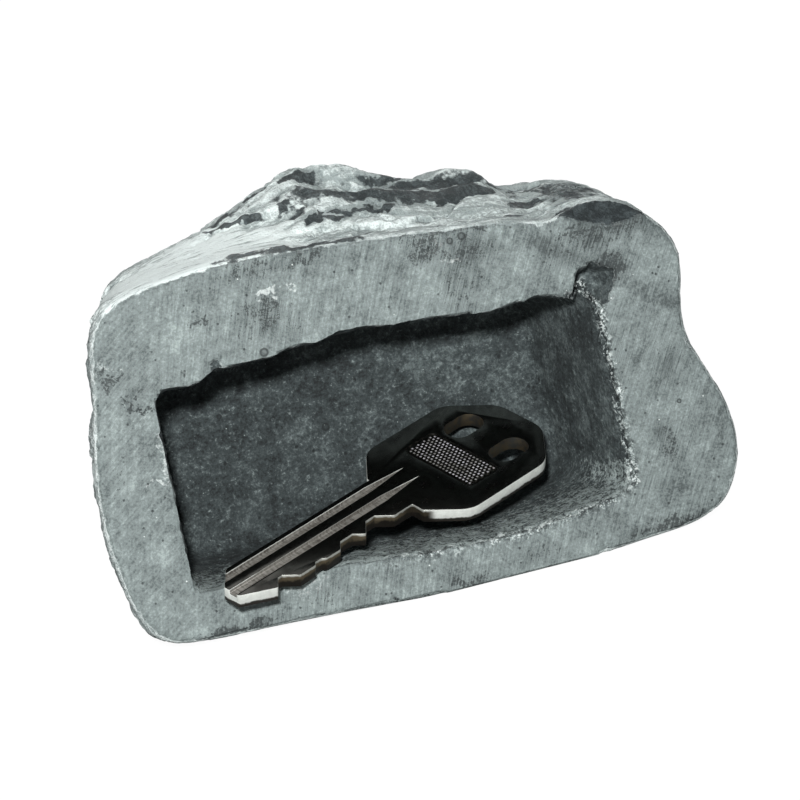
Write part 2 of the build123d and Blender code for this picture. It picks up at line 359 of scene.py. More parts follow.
# Patterns are written as sums of numbers that vary over the surface.
class Tone:
    """A number that varies over a surface. Arithmetic on it adds Math nodes."""

    def __init__(self, nodes, socket):
        self.nodes = nodes
        self.socket = socket

    def math(self, operation, *others):
        made = self.nodes.node("ShaderNodeMath", {"operation": operation},
                               dict(enumerate((self,) + others)))
        return Tone(self.nodes, made.outputs[0])

    def __add__(self, other):
        return self.math("ADD", other)

    def __radd__(self, other):
        return self.math("ADD", other)

    def __sub__(self, other):
        return self.math("SUBTRACT", other)

    def __rsub__(self, other):
        return self * -1.0 + other

    def __mul__(self, other):
        return self.math("MULTIPLY", other)

    def ramp(self, low, high):
        """0 below low, 1 above high and smooth between; low may be the larger."""
        made = self.nodes.node("ShaderNodeMapRange", {"interpolation_type": "SMOOTHSTEP"},
                               {"Value": self, "From Min": low, "From Max": high})
        return Tone(self.nodes, made.outputs["Result"])

    def most(self, other):
        return self.math("MAXIMUM", other)

    def least(self, other):
        return self.math("MINIMUM", other)


class Nodes:
    """The nodes of a material or of the world."""

    def __init__(self, tree):
        self.tree = tree

    def node(self, kind, settings, sockets):
        """Adds a node, makes its settings first and then fills its sockets."""
        made = self.tree.nodes.new(kind)
        for name, value in settings.items():
            setattr(made, name, value)
        for name, value in sockets.items():
            self.fill(made.inputs[name], value)
        return made

    def fill(self, socket, value):
        value = value.socket if isinstance(value, Tone) else value
        if isinstance(value, bpy.types.NodeSocket):
            self.tree.links.new(value, socket)
        else:
            socket.default_value = value

    def vector(self, x, y, z):
        return self.node("ShaderNodeCombineXYZ", {}, {"X": x, "Y": y, "Z": z}).outputs["Vector"]


class Finish(Nodes):
    """One material, with the patterns that the finishes here are made of."""

    def __init__(self, name):
        self.material = bpy.data.materials.new(name)
        self.material.use_nodes = True
        super().__init__(self.material.node_tree)
        self.shader = self.tree.nodes["Principled BSDF"]
        place = self.node("ShaderNodeTexCoord", {}, {}).outputs["Object"]
        self.place = self.node("ShaderNodeMapping", {"vector_type": "POINT"}, {
            "Vector": place,
            "Location": row_to_face.to_translation(),
            "Rotation": face_turn.inverted().to_euler(),
            "Scale": Vector((1, 1, 1)) / MM}).outputs["Vector"]
        parts = self.node("ShaderNodeSeparateXYZ", {}, {"Vector": self.place}).outputs
        self.x, self.y, self.z = (Tone(self, part) for part in parts)
        self.grits = {}

    def stored(self, name):
        """A number that the mesh keeps at each of its points."""
        made = self.node("ShaderNodeAttribute", {"attribute_name": name}, {})
        return Tone(self, made.outputs["Fac"])

    def grain(self, scale, detail=3.0, roughness=0.5, place=None):
        """Noise from 0 to 1, with scale features per millimetre."""
        made = self.node("ShaderNodeTexNoise", {}, {
            "Vector": place or self.place, "Scale": scale, "Detail": detail, "Roughness": roughness})
        return Tone(self, made.outputs[0])

    def wander(self, reach, scale, detail, roughness, place=None):
        """How far, in millimetres, a mark's outline is bent to one side or the other."""
        return (self.grain(scale, detail, roughness, place).ramp(0.2, 0.8) - 0.5) * reach

    def grit(self, scale):
        """Strong speckle from -0.5 to 0.5, scale grains per millimetre, made once for each scale."""
        if scale not in self.grits:
            self.grits[scale] = self.grain(scale, 3.0, 0.75).ramp(0.32, 0.68) - 0.5
        return self.grits[scale]

    def dots(self, scale, place=None):
        """Distance from scattered points, 0 at each point."""
        made = self.node("ShaderNodeTexVoronoi", {}, {"Vector": place or self.place, "Scale": scale})
        return Tone(self, made.outputs["Distance"])

    def blend(self, mask, first, second):
        """The first colour where mask is 0 and the second where it is 1."""
        made = self.node("ShaderNodeMix", {"data_type": "RGBA"}, {0: mask, 6: first, 7: second})
        return made.outputs[2]

    def relief(self, height, strength, distance):
        """Feeds the shader's normal with a height in millimetres."""
        bump = self.node("ShaderNodeBump", {}, {
            "Height": height, "Strength": strength, "Distance": distance * MM})
        self.fill(self.shader.inputs["Normal"], bump.outputs["Normal"])


def tint(red, green, blue):
    """A colour from its 0 to 255 screen values."""
    def linear(value):
        share = value / 255
        return share / 12.92 if share <= 0.04045 else ((share + 0.055) / 1.055) ** 2.4
    return linear(red), linear(green), linear(blue), 1.0


def patch(place, centre, size, soft, strength=1.0):
    """Strength inside an oval patch, 0 outside it. Place holds a vector."""
    nodes = place.nodes
    scale = Vector((1 / size[0], 1 / size[1], 0))
    shift = Vector((-centre[0] / size[0], -centre[1] / size[1], 0))
    offset = nodes.node("ShaderNodeVectorMath", {"operation": "MULTIPLY_ADD"},
                        {0: place.socket, 1: scale, 2: shift})
    reach = nodes.node("ShaderNodeVectorMath", {"operation": "LENGTH"}, {0: offset.outputs["Vector"]})
    made = nodes.node("ShaderNodeMapRange", {"interpolation_type": "SMOOTHSTEP"}, {
        "Value": reach.outputs["Value"],
        "From Min": 1 + soft / 2, "From Max": 1 - soft / 2, "To Max": strength})
    return Tone(nodes, made.outputs["Result"])


def line_mark(x, y, start, end, width):
    """1 along a straight scratch or crack, 0 beside it."""
    run = Vector(end) - Vector(start)
    step = run.normalized()
    across = (x - start[0]) * -step.y + (y - start[1]) * step.x
    forward = (x - start[0]) * step.x + (y - start[1]) * step.y
    ends = forward.ramp(0.0, LINE_TAPER) * forward.ramp(run.length, run.length - LINE_TAPER)
    return across.math("ABSOLUTE").ramp(width, width * 0.3) * ends


def strongest(marks):
    """The strongest of several marks at each place."""
    total = marks[0]
    for mark in marks[1:]:
        total = total.most(mark)
    return total


def ovals(x, y, marks, soft):
    """Oval marks, each given as (centre, half size, strength)."""
    place = Tone(x.nodes, x.nodes.vector(x, y, 0.0))
    return strongest([patch(place, centre, size, soft, strength) for centre, size, strength in marks])


def lines(x, y, marks):
    """Line marks, each given as (start, end, width, strength)."""
    return strongest([line_mark(x, y, start, end, width) * strength
                      for start, end, width, strength in marks])


LINE_TAPER = 1.5            # length of a line mark's faded ends
SAND, GRIT, CLUMP = 2.6, 0.95, 0.5      # grains per millimetre of the stone's speckle
SCRATCH_LEAN = 0.40         # how far the sanding scratches lean along the rock for each unit up it
SCRATCH_CURVE = 0.004       # and how much more at each millimetre along it
STONE_GREY = tint(119, 129, 128)
STONE_LIGHT = tint(162, 174, 172)
STONE_DARK = tint(72, 80, 80)
STONE_STAIN_AND_SHADE = tint(30, 36, 37)
STONE_WHITE = tint(226, 233, 231)
PAINT_LIGHT = tint(236, 246, 244)
PAINT_MID = tint(162, 173, 172)
PAINT_GREY = tint(96, 105, 105)
PAINT_DARK = tint(34, 41, 43)
PAINT_WASH = tint(68, 77, 79)
PEBBLE_GREY = tint(180, 191, 190)
RECESS_GREY = tint(55, 63, 64)
RECESS_LIGHT = tint(100, 110, 110)
RECESS_DARK = tint(24, 29, 30)

# Zones of the finish. Each fades in from the first of two places along an axis to the second.
UPPER_PAINT = (22.0, 26.0)          # up: the upper side, with its streaks and marks
LEFT_SANDED = (-26.0, -34.0)        # along: the cut face's left end, sanded on the slant
RIGHT_DARKER = (18.0, 30.0)         # along: its darker right end
RECESS_PALER = (-5.0, 20.0)         # along: the recess is paler towards its right
RUBBLE_UP = (-9.5, -12.0)           # up: rubble on the lower wall
RUBBLE_OUT = (-22.0, -5.0)          # out: and more of it towards the mouth
RUBBLE_RIM = (2.5, 0.0)             # from the rim: rubble along it
RUBBLE_BELOW = (8.0, 4.0)           # up: but none along its upper part
CUT_OUT = (-0.5, -0.25)             # out: the sanded face
RECESS_OUT = (-0.25, -0.5)          # out: the recess's skin
SCOOP_OUT = (-0.1, -0.5)            # out: the scoop's skin
RAGGED_RIGHT = (27.0, 30.0)         # along: crumbs on the right rim
RAGGED_BELOW = (-9.0, -11.0)        # up: and on the lower one
RAGGED_FROM = (-8.0, 0.0)           # along: but only right of the key's blade
CRUMBLED = (1.8, 0.4)               # from the rim: how far they reach
WORN_BELOW = (-8.0, -11.0)          # up: the lower rim is worn white
WORN_FROM = (-12.0, -6.0)           # along: from the key's blade on
WORN_RIM = (0.6, 0.15)              # from the rim
WORN_ARRIS = (0.5, 0.1)             # from the outer edge

# Marks on the cut face, along and up it. Ovals: (centre, half size, strength).
CUT_DARK = [
    ((-14.6, 22.0), (3.0, 2.2), 0.8), ((-11.0, 19.4), (2.4, 1.6), 0.5),
    ((-17.5, 20.0), (3.0, 1.2), 0.45), ((-37.8, 17.6), (3.2, 1.3), 0.7),
    ((-34.0, 15.6), (3.0, 0.8), 0.5), ((9.4, 25.6), (2.6, 2.6), 0.9), ((15.0, 23.6), (5.0, 2.2), 0.7),
    # The oval at (34.8, 16.8) is painted shade round the broken corner's hollow.
    ((17.0, 27.6), (12.0, 1.3), 0.8), ((30.0, 20.8), (5.0, 2.4), 0.5), ((34.8, 16.8), (2.8, 2.6), 1.1),
    ((36.0, 22.4), (9.0, 2.0), 0.8), ((13.0, 19.0), (2.4, 4.5), 0.55),
    ((38.8, -10.1), (1.5, 2.4), 0.75), ((36.8, -21.2), (7.0, 1.1), 1.0),
    ((-27.5, -20.8), (6.0, 1.0), 1.0), ((5.2, -22.0), (3.0, 1.0), 0.9),
    ((18.0, -20.4), (4.0, 0.9), 0.5), ((-19.6, -14.6), (4.0, 1.3), 0.8),
    ((-15.0, -18.4), (3.6, 2.6), 0.5), ((-31.5, 12.2), (2.4, 0.9), 0.6),
    ((-24.0, 22.8), (0.9, 0.7), 0.9), ((41.0, 3.0), (2.8, 5.0), 0.4), ((-8.0, 27.8), (3.4, 0.9), 0.8),
    ((-15.5, 28.0), (5.5, 1.1), 0.7), ((-39.5, 4.0), (1.6, 7.0), 0.35),
    ((-27.8, 16.4), (0.8, 0.8), 0.9), ((33.4, 3.0), (1.8, 9.0), 0.35), ((32.0, -14.5), (7.0, 1.6), 0.3),
]
CUT_LIGHT = [
    ((-14.0, 24.4), (1.7, 0.7), 1.0), ((-32.4, 5.4), (1.0, 3.4), 0.8), ((-33.4, 2.4), (1.2, 0.5), 0.9),
    ((-31.2, 10.8), (1.8, 0.5), 0.9), ((-10.5, 24.6), (0.8, 0.35), 0.9),
    ((-17.0, -17.0), (3.0, 2.2), 0.6), ((12.6, 22.8), (1.8, 0.5), 0.7),
    ((-37.5, 19.0), (3.0, 0.3), 0.6), ((10.8, 25.4), (1.2, 1.0), 0.45),
    ((-34.0, 11.6), (4.0, 0.8), 0.35),
]
# Cracks and scratches there: (start, end, width, strength).
CUT_DARK_LINES = [((-20.0, 22.5), (-13.0, 17.8), 0.6, 0.4), ((-38.0, 15.4), (-31.0, 10.6), 0.35, 0.9)]
CUT_LIGHT_LINES = [((-38.0, 0.5), (-31.5, 4.5), 0.25, 0.8)]
SMEAR = ((21.0, 26.0), (48.0, 6.5), 1.5)    # a dull streak: (start, end, width)
# Blow holes in the face and in the recess's floor, drawn only in colour as painted shade: (centre,
# radius).
BLOW_HOLES = [
    ((-16.0, 16.4), 0.65), ((15.0, 26.0), 0.6), ((13.2, 25.7), 0.5), ((-4.3, 0.9), 0.6),
    ((-19.5, 6.0), 0.4), ((20.5, -2.0), 0.45), ((41.5, -4.0), 0.35),
]
# Marks on the upper side, along it and inwards from the cut face, in the same form.
TOP_DARK = [
    ((4.0, -15.7), (9.0, 1.7), 1.0), ((17.0, -14.6), (10.0, 1.5), 0.95),
    ((-2.8, -19.7), (3.4, 0.8), 0.9), ((-9.0, -19.8), (3.0, 0.6), 0.8),
    ((-15.2, -17.9), (3.6, 0.8), 0.75), ((-5.6, -14.6), (1.6, 0.8), 0.8),
    ((-4.4, -12.6), (1.5, 1.0), 0.75), ((-2.9, -10.2), (1.7, 0.6), 0.7),
    ((5.8, -11.8), (3.4, 0.7), 1.0), ((28.5, -10.7), (2.6, 0.8), 0.8), ((31.4, -1.6), (2.4, 0.8), 0.8),
    ((-16.0, -1.6), (5.5, 1.5), 1.1), ((-8.5, -1.6), (4.5, 1.6), 1.2), ((-1.5, -1.3), (3.4, 1.0), 0.9),
    ((20.0, -18.6), (9.0, 1.3), 0.8), ((9.0, -20.8), (5.0, 1.0), 0.7), ((36.0, -12.0), (5.0, 5.0), 0.5),
    ((30.0, -15.5), (4.0, 1.2), 0.7),
]
TOP_DARK_LINES = [
    ((-19.0, -17.0), (-8.5, -14.2), 0.5, 1.0), ((-4.0, -4.6), (9.0, -5.4), 0.35, 0.6),
    ((12.0, -4.2), (27.0, -6.8), 0.4, 0.6), ((-26.0, -9.5), (-14.0, -9.0), 0.3, 0.35),
]
TOP_LIGHT = [
    ((-22.0, -7.0), (15.0, 9.0), 0.8), ((5.0, -18.6), (4.6, 0.5), 1.2), ((6.5, -10.2), (3.2, 0.5), 1.2),
    ((17.4, -12.6), (3.0, 0.4), 1.2), ((2.0, -8.0), (9.0, 1.3), 0.6), ((12.0, -6.6), (8.0, 1.3), 0.5),
]
PEBBLE = (0.3, -11.0)       # a pale pebble cast into the upper side
PEBBLE_SIZE = (1.8, 0.75)
PEBBLE_RING = 0.65          # width of the dark ring round it


def painted_skin(finish, relief):
    """Grey stone with streaks along its layers, a dark wash in its hollows and a pale dry-brush."""
    x, y, z = finish.x, finish.y, finish.z
    warp_x = x + finish.wander(2.4, 0.4, 2.0, 0.5)
    warp_z = z + finish.wander(1.6, 0.5, 2.0, 0.5, finish.vector(z, x, y))
    bed = x * BEDDING.x + y * BEDDING.y + z * BEDDING.z
    on_top = y.ramp(*UPPER_PAINT)
    flat_place = Tone(finish, finish.vector(x, z, 0.0))
    calm = patch(flat_place, CALM, CALM_SIZE, 0.6) * on_top
    streaks = finish.grain(1.0, 4.0, 0.7, finish.vector(x * 0.16, bed * 1.3, y * 0.22))
    clumps = finish.grain(0.5, 4.0, 0.72)
    broad = clumps + (streaks - clumps) * on_top
    brushed_hair = finish.grain(1.0, 3.0, 0.7, finish.vector(x * 0.2, z * 2.2, y * 0.3)).ramp(0.3, 0.7)
    cloud = finish.grain(0.10, 4.0, 0.62)
    clump, grit, sand = finish.grit(CLUMP), finish.grit(GRIT), finish.grit(SAND)
    washed = ovals(warp_x, warp_z, TOP_DARK, 1.1).most(lines(x, z, TOP_DARK_LINES)) * on_top
    brushed = ovals(warp_x, warp_z, TOP_LIGHT, 0.9) * on_top
    tone = (relief * 0.4 + (broad - 0.5) * 1.9 + (brushed_hair - 0.5) * (calm * 0.8 + on_top * 0.3)
            + (cloud - 0.5) * 1.2 + grit * 0.22 + sand * 0.2
            + brushed * 0.35 + calm * 0.4 + on_top * 0.06)
    skin = finish.blend(tone.ramp(-0.75, 0.0), PAINT_GREY, PAINT_MID)
    skin = finish.blend(tone.ramp(0.0, 0.55), skin, PAINT_LIGHT)
    wash = (relief * -0.9 + clump * 0.35 + grit * 0.22 + sand * 0.2 - (broad - 0.5) * 1.2
            + washed * 1.35 - brushed * 0.5 - calm * 0.25)
    shade = finish.blend((grit + sand * 0.5 + broad).ramp(0.3, 1.0), PAINT_DARK, PAINT_WASH)
    skin = finish.blend(wash.ramp(0.25, 0.8) * 0.94, skin, shade)
    ridge = (relief.least(0.45) + sand * 0.25 + grit * 0.25
             + (brushed - 0.6).most(0.0) * 0.8 - washed * 0.3)
    ridge = (ridge + (1 - on_top) * 0.06).ramp(0.32, 0.6)
    skin = finish.blend(ridge * (0.75 - on_top * 0.25), skin, STONE_WHITE)
    warped_place = Tone(finish, finish.vector(warp_x, warp_z, 0.0))
    ring = patch(warped_place, PEBBLE, [half + PEBBLE_RING for half in PEBBLE_SIZE], 0.5)
    skin = finish.blend((ring + grit * 0.4).ramp(0.3, 0.8) * on_top * 0.9, skin, shade)
    skin = finish.blend(patch(flat_place, PEBBLE, PEBBLE_SIZE, 0.2) * on_top, skin, PEBBLE_GREY)
    return skin, broad * 0.3 + brushed_hair * 0.04 + (grit * 0.2 + sand * 0.12) * (1 - calm * 0.7)


def sanded_face(finish):
    """Fine scratches nearly straight up the face, others across its left end, clouds and marks."""
    x, y, z = finish.x, finish.y, finish.z
    warp_x = x + finish.wander(2.6, 0.45, 3.0, 0.6)
    warp_y = y + finish.wander(2.6, 0.5, 3.0, 0.6, finish.vector(y, x, 7.0))
    across = x - y * (x * SCRATCH_CURVE + SCRATCH_LEAN)
    hair = finish.grain(1.0, 3.0, 0.75, finish.vector(across * 3.4, y * 0.22, 0.0)).ramp(0.3, 0.7)
    broad = finish.grain(1.0, 1.0, 0.5, finish.vector(across * 1.1, y * 0.06, 3.0)).ramp(0.3, 0.7)
    slant = finish.grain(1.0, 2.0, 0.7, finish.vector((x * 0.62 - y * 0.78) * 2.2, (x + y) * 0.12, 5.0))
    left = x.ramp(*LEFT_SANDED)
    scratches = hair * (1 - left * 0.7) + slant.ramp(0.3, 0.7) * left * 0.7
    clouds = finish.grain(0.16, 4.0, 0.68).ramp(0.25, 0.75)
    grit, sand = finish.grit(GRIT), finish.grit(SAND)
    tone = ((scratches - 0.5) * 0.45 + (broad - 0.5) * 0.2 + (clouds - 0.5) * 0.75
            + sand * 0.55 + grit * 0.4 - x.ramp(*RIGHT_DARKER) * 0.1 - line_mark(x, y, *SMEAR) * 0.25)
    face = finish.blend(tone.ramp(-0.1, 0.9), STONE_GREY, STONE_LIGHT)
    face = finish.blend(tone.ramp(0.05, -0.8), face, STONE_DARK)
    dark = ovals(warp_x, warp_y, CUT_DARK, 1.4).most(lines(warp_x, warp_y, CUT_DARK_LINES))
    stain_and_shade = (dark + sand * 0.8 + grit * 0.55 - (scratches - 0.5) * 0.4).ramp(0.45, 1.0)
    face = finish.blend(stain_and_shade * dark.ramp(0.05, 0.3) * 0.85, face, STONE_STAIN_AND_SHADE)
    light = ovals(warp_x, warp_y, CUT_LIGHT, 0.9).most(lines(warp_x, warp_y, CUT_LIGHT_LINES))
    fleck = (light + sand * 0.5 + grit * 0.5).ramp(0.45, 1.25) * light.ramp(0.05, 0.3)
    face = finish.blend(fleck * 0.6, face, STONE_WHITE)
    pores = finish.dots(0.5).ramp(0.11, 0.05)
    specks = finish.dots(0.33, finish.vector(y, x, z)).ramp(0.045, 0.02)
    face = finish.blend(pores * 0.75, face, STONE_STAIN_AND_SHADE)
    face = finish.blend(specks, face, STONE_WHITE)
    return face, scratches, scratches * 0.03 + sand * 0.03 - pores * 0.12


def moulded_recess(finish, rim_gap):
    """Dark and mottled, with pale dust, pits, and crumbs towards the lower rim."""
    x, y, z = finish.x, finish.y, finish.z
    mottle = finish.grain(0.2, 5.0, 0.72).ramp(0.25, 0.75)
    grit, sand = finish.grit(GRIT), finish.grit(SAND)
    tone = (mottle - 0.5) * 1.1 + grit * 0.6 + sand * 0.65 + x.ramp(*RECESS_PALER) * 0.2
    hollow = finish.blend(tone.ramp(-0.05, 1.0), RECESS_GREY, RECESS_LIGHT)
    hollow = finish.blend(tone.ramp(0.1, -0.8), hollow, RECESS_DARK)
    pits = finish.dots(0.34, finish.vector(x, z, y)).ramp(0.12, 0.06)
    hollow = finish.blend(pits * 0.8, hollow, RECESS_DARK)
    dust = finish.dots(0.6).ramp(0.07, 0.03) * finish.grain(0.5).ramp(0.45, 0.6)
    hollow = finish.blend(dust, hollow, STONE_LIGHT)
    rubble = y.ramp(*RUBBLE_UP) * z.ramp(*RUBBLE_OUT) * 0.75
    rubble = rubble + rim_gap.ramp(*RUBBLE_RIM) * y.ramp(*RUBBLE_BELOW) * 0.35
    hollow = finish.blend((rubble + grit * 0.7 + sand * 0.7).ramp(0.35, 1.0) * 0.85, hollow, STONE_LIGHT)
    return hollow, grit * 0.12 + sand * 0.1 - pits * 0.2


def stone_finish():
    """Cast stone: painted rough skin, sanded cut face with marks, and a dark mottled recess."""
    finish = Finish("cast_stone")
    x, y = finish.x, finish.y
    clump, grit, sand = finish.grit(CLUMP), finish.grit(GRIT), finish.grit(SAND)
    edge = finish.z + grit * 0.3
    cut = edge.ramp(*CUT_OUT)
    # The recess's own dark colour, and painted shade in bites near its mouth.
    recess = finish.stored("recess").ramp(0.3, 0.6) * edge.ramp(*RECESS_OUT)
    scoop = (finish.stored("scoop") + grit * 0.4).ramp(0.3, 0.7) * edge.ramp(*SCOOP_OUT)
    rim_gap = finish.stored("rim_gap")
    arris_gap = finish.stored("arris_gap")
    skin, skin_height = painted_skin(finish, finish.stored("relief"))
    face, scratches, face_height = sanded_face(finish)
    hollow, hollow_height = moulded_recess(finish, rim_gap)
    mottle = clump + sand * 0.5
    colour = finish.blend(cut, skin, face)
    colour = finish.blend(scoop, colour, finish.blend(mottle.ramp(-0.4, 0.6), PAINT_DARK, PAINT_WASH))
    colour = finish.blend(recess, colour, hollow)
    face_place = Tone(finish, finish.vector(x, y, 0.0))
    # Blow holes are not cut into the mesh: their dark ring and paler middle are painted shade.
    for centre, radius in BLOW_HOLES:
        bottom = patch(face_place, centre, (radius * 0.55, radius * 0.55), 0.5)
        hole_shade = patch(face_place, centre, (radius, radius), 0.3) - bottom * 0.5
        colour = finish.blend(hole_shade * cut.most(recess) * 0.8, colour, RECESS_DARK)
    # Crumbs where the edges broke: dark ones, pale ones and in places white ones
    crumbs = grit * 0.8 + sand * 0.6
    stretch = finish.grain(0.22, 1.0, 0.5).ramp(0.42, 0.58)
    ragged = x.ramp(*RAGGED_RIGHT).most(y.ramp(*RAGGED_BELOW) * x.ramp(*RAGGED_FROM))
    broken = (rim_gap + clump * 1.2).ramp(*CRUMBLED) * ragged
    colour = finish.blend(broken * crumbs.ramp(0.15, -0.3) * 0.75, colour, RECESS_DARK)
    colour = finish.blend(broken * crumbs.ramp(0.0, 0.4) * 0.8, colour, STONE_LIGHT)
    lower = y.ramp(*WORN_BELOW) * x.ramp(*WORN_FROM)
    worn = (rim_gap.ramp(*WORN_RIM) * (lower * 0.5 + 0.4)).most(broken * (stretch * 0.7 + 0.3))
    worn = worn.most(arris_gap.ramp(*WORN_ARRIS) * stretch * 0.4)
    colour = finish.blend(worn * crumbs.ramp(0.12, 0.4), colour, STONE_WHITE)
    finish.fill(finish.shader.inputs["Base Color"], colour)
    finish.fill(finish.shader.inputs["Roughness"], 0.84 - cut * (scratches * 0.2 + 0.02))
    height = face_height * cut + hollow_height * recess + skin_height * (1 - cut) * (1 - recess)
    finish.relief(height, 0.8, 1.0)
    return finish.material


even, edges = even_mesh("rock_body", EVEN_MESH)
work_stone(even, edges)
rock = bpy.data.objects.new("cast_rock", even)
bpy.context.collection.objects.link(rock)
even.materials.clear()
even.materials.append(stone_finish())
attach(rock, "rock")
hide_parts("rock_body")

# --- Key ---------------------------------------------------------------------------------------
# A house key stamped from brass sheet and nickel plated, its blade milled and bitted afterwards, so
# the cuts show the metal. Its edges are broken and a pressed grip panel crosses the bow.
KEY_SKEW = 30.8             # degrees from the rock's length, bow inwards
KEY_TILT = 29.3             # degrees that its upper face leans out
KEY_ROLL = 4.1              # degrees that its bow end dips
TIP_LENGTH = 3.1
BOW_ABOVE_BLADE = 5.25      # how far the bow stands past the blade's plain edge
KEY_THICKNESS = 2.1
FLAT_WITHIN = 2.0           # degrees within which the CAD mesh's faces are one flat
EDGE_BREAK = 0.13
BROKEN_PAST = 40.0          # degrees between faces past which an edge is broken
KEY_SHARP = 30.0            # and past which it stays sharp in the shading
GROOVES_ALONG = (-2.9, 34.8)    # where the milled grooves' walls and floors are, in the key's frame
GROOVES_ACROSS = (-5.5, -0.7)
GROOVES_DEEPER = -0.08
PANEL_MIDDLE = Vector((40.7, -5.15))
PANEL_SIZE = Vector((6.4, 13.4))
PANEL_DEPTH = 0.25
PANEL_MARGIN = Vector((0.5, 1.0))   # what the points leave free of it
PANEL_SLACK = 0.2           # a face this near to the panel is one of its walls
SLOTS_MIDDLE = Vector((48.2, -5.15))
SLOTS_REACH = Vector((3.6, 6.8))    # half the size of the space that holds both slots
KNURL_PITCH = 0.64
POINT_BASE, POINT_TOP = KNURL_PITCH * 0.66, 0.2     # radii of a point
POINT_HEIGHT = 0.3
POINT_SUNK = 0.05           # how deep it starts in the panel
PLATE, EDGE, GROOVE, POINT, SLOT = range(5)     # the key's finishes, in its materials' order


def turned(axis, degrees):
    return Matrix.Rotation(math.radians(degrees), 4, axis)


def key_place():
    """The key's own frame: X along the blade, its plain edge on Y = 0, its upper face on Z = 0."""
    lying = turned("Z", -KEY_ROLL) @ turned("X", KEY_TILT) @ turned("X", -90) @ turned("Z", KEY_SKEW)
    unplaced = (face_to_row @ lying).inverted()
    corners = [unplaced @ vert.co for vert in frame["nodes"]["key"].data.vertices]
    origin = Vector((min(c.x for c in corners) + TIP_LENGTH,
                     max(c.y for c in corners) - BOW_ABOVE_BLADE,
                     max(c.z for c in corners)))
    return face_to_row @ lying @ Matrix.Translation(origin)


def knurl(key):
    """Rows of small blunt pyramids over the grip panel, on both faces, every other row set off."""
    columns = int((PANEL_SIZE.x - PANEL_MARGIN.x) / KNURL_PITCH)
    rows = int((PANEL_SIZE.y - PANEL_MARGIN.y) / KNURL_PITCH)
    top = POINT_HEIGHT - POINT_SUNK
    for up, floor in ((1, -PANEL_DEPTH), (-1, PANEL_DEPTH - KEY_THICKNESS)):
        for column in range(columns):
            for row in range(rows):
                x = PANEL_MIDDLE.x + (column - (columns - 1) / 2) * KNURL_PITCH
                y = PANEL_MIDDLE.y + (row - (rows - 1) / 2 + column % 2 / 2 - 0.25) * KNURL_PITCH
                z = floor + up * (top - POINT_HEIGHT / 2)
                stand = Matrix.Translation((x, y, z)) @ turned("Z", 45)
                if up < 0:
                    stand = stand @ turned("X", 180)
                made = bmesh.ops.create_cone(key, cap_ends=True, segments=4, radius1=POINT_BASE,
                                             radius2=POINT_TOP, depth=POINT_HEIGHT, matrix=stand)
                for face in {face for vert in made["verts"] for face in vert.link_faces}:
                    rise = up * (face.calc_center_median().z - floor)
                    face.material_index = POINT if rise > 0.9 * top else PLATE


def key_mesh(place):
    mesh = frame["nodes"]["key"].data.copy()
    key = bmesh.new()
    key.from_mesh(mesh)
    bmesh.ops.remove_doubles(key, verts=key.verts, dist=1e-6)
    bmesh.ops.transform(key, matrix=place.inverted(), verts=key.verts)
    bmesh.ops.dissolve_limit(key, angle_limit=math.radians(FLAT_WITHIN), verts=key.verts,
                             edges=key.edges)
    key.normal_update()
    broken = [edge for edge in key.edges
              if len(edge.link_faces) == 2 and edge.calc_face_angle() > math.radians(BROKEN_PAST)]
    bmesh.ops.bevel(key, geom=broken, offset=EDGE_BREAK, affect="EDGES", segments=2, profile=0.5,
                    material=-1, clamp_overlap=True)
    key.normal_update()
    for face in key.faces:
        face.material_index = key_finish_of(face)
        face.smooth = abs(face.normal.z) < 0.99
    knurl(key)
    layers = [key.verts.layers.float.new(name) for name in ("key_along", "key_across", "key_up")]
    for vert in key.verts:
        for axis, layer in enumerate(layers):
            vert[layer] = vert.co[axis]
    bmesh.ops.transform(key, matrix=place, verts=key.verts)
    key.normal_update()
    mesh.materials.clear()
    key.to_mesh(mesh)
    key.free()
    mesh.set_sharp_from_angle(angle=math.radians(KEY_SHARP))
    return mesh


def is_near(offset, half):
    return abs(offset.x) < half.x and abs(offset.y) < half.y


def key_finish_of(face):
    """Which finish a face of the key has, from where it is in the key's own frame."""
    middle = face.calc_center_median()
    along = GROOVES_ALONG[0] < middle.x < GROOVES_ALONG[1]
    across = GROOVES_ACROSS[0] < middle.y < GROOVES_ACROSS[1]
    if along and across and -KEY_THICKNESS / 2 < middle.z < GROOVES_DEEPER:
        return GROOVE
    if abs(face.normal.z) > 0.9:
        return PLATE
    panel_half = PANEL_SIZE / 2 + Vector((PANEL_SLACK, PANEL_SLACK))
    if is_near(middle.xy - PANEL_MIDDLE, panel_half):
        return PLATE
    return SLOT if is_near(middle.xy - SLOTS_MIDDLE, SLOTS_REACH) else EDGE


NICKEL = tint(128, 127, 122)
NICKEL_DULL = tint(84, 84, 80)
BRASS_WORN = tint(104, 94, 76)
BRASS_DARK = tint(40, 36, 31)
# The edges' near white, barely metallic, is a painted highlight where they catch the lamp.
EDGE_HIGHLIGHT = tint(232, 236, 230)
MILLED = tint(150, 148, 142)
MILLED_DARK = tint(80, 76, 70)
# The knurl tops' near white is a painted highlight.
KNURL_HIGHLIGHT = tint(214, 212, 222)

# Zones of the edge's finish, in the key's frame. Each fades in from the first place to the second.
CUTS_FROM = (1.6, 2.6)      # along: the bitted edge starts past the tip
CUTS_TO = (30.2, 29.2)      # along: and ends at the bow
CUTS_SIDE = (-2.0, -3.0)    # across: on this side of the blade
LESS_BRIGHT = (47.0, 55.0)  # along: the painted highlight dims towards the bow's end
NECK = (26.0, 28.0)         # along: dirt where the blade meets the bow
LIP = (-0.45, -0.25)        # up: a painted highlight along the upper face's edge
CUTS_SHADED_BELOW = (-0.7, -1.3)        # up: below it the cuts darken, painted shade on their lower part
LOWER_SHADE = (-1.35, -1.6)        # up: the lower part of every edge is darkened, painted shade
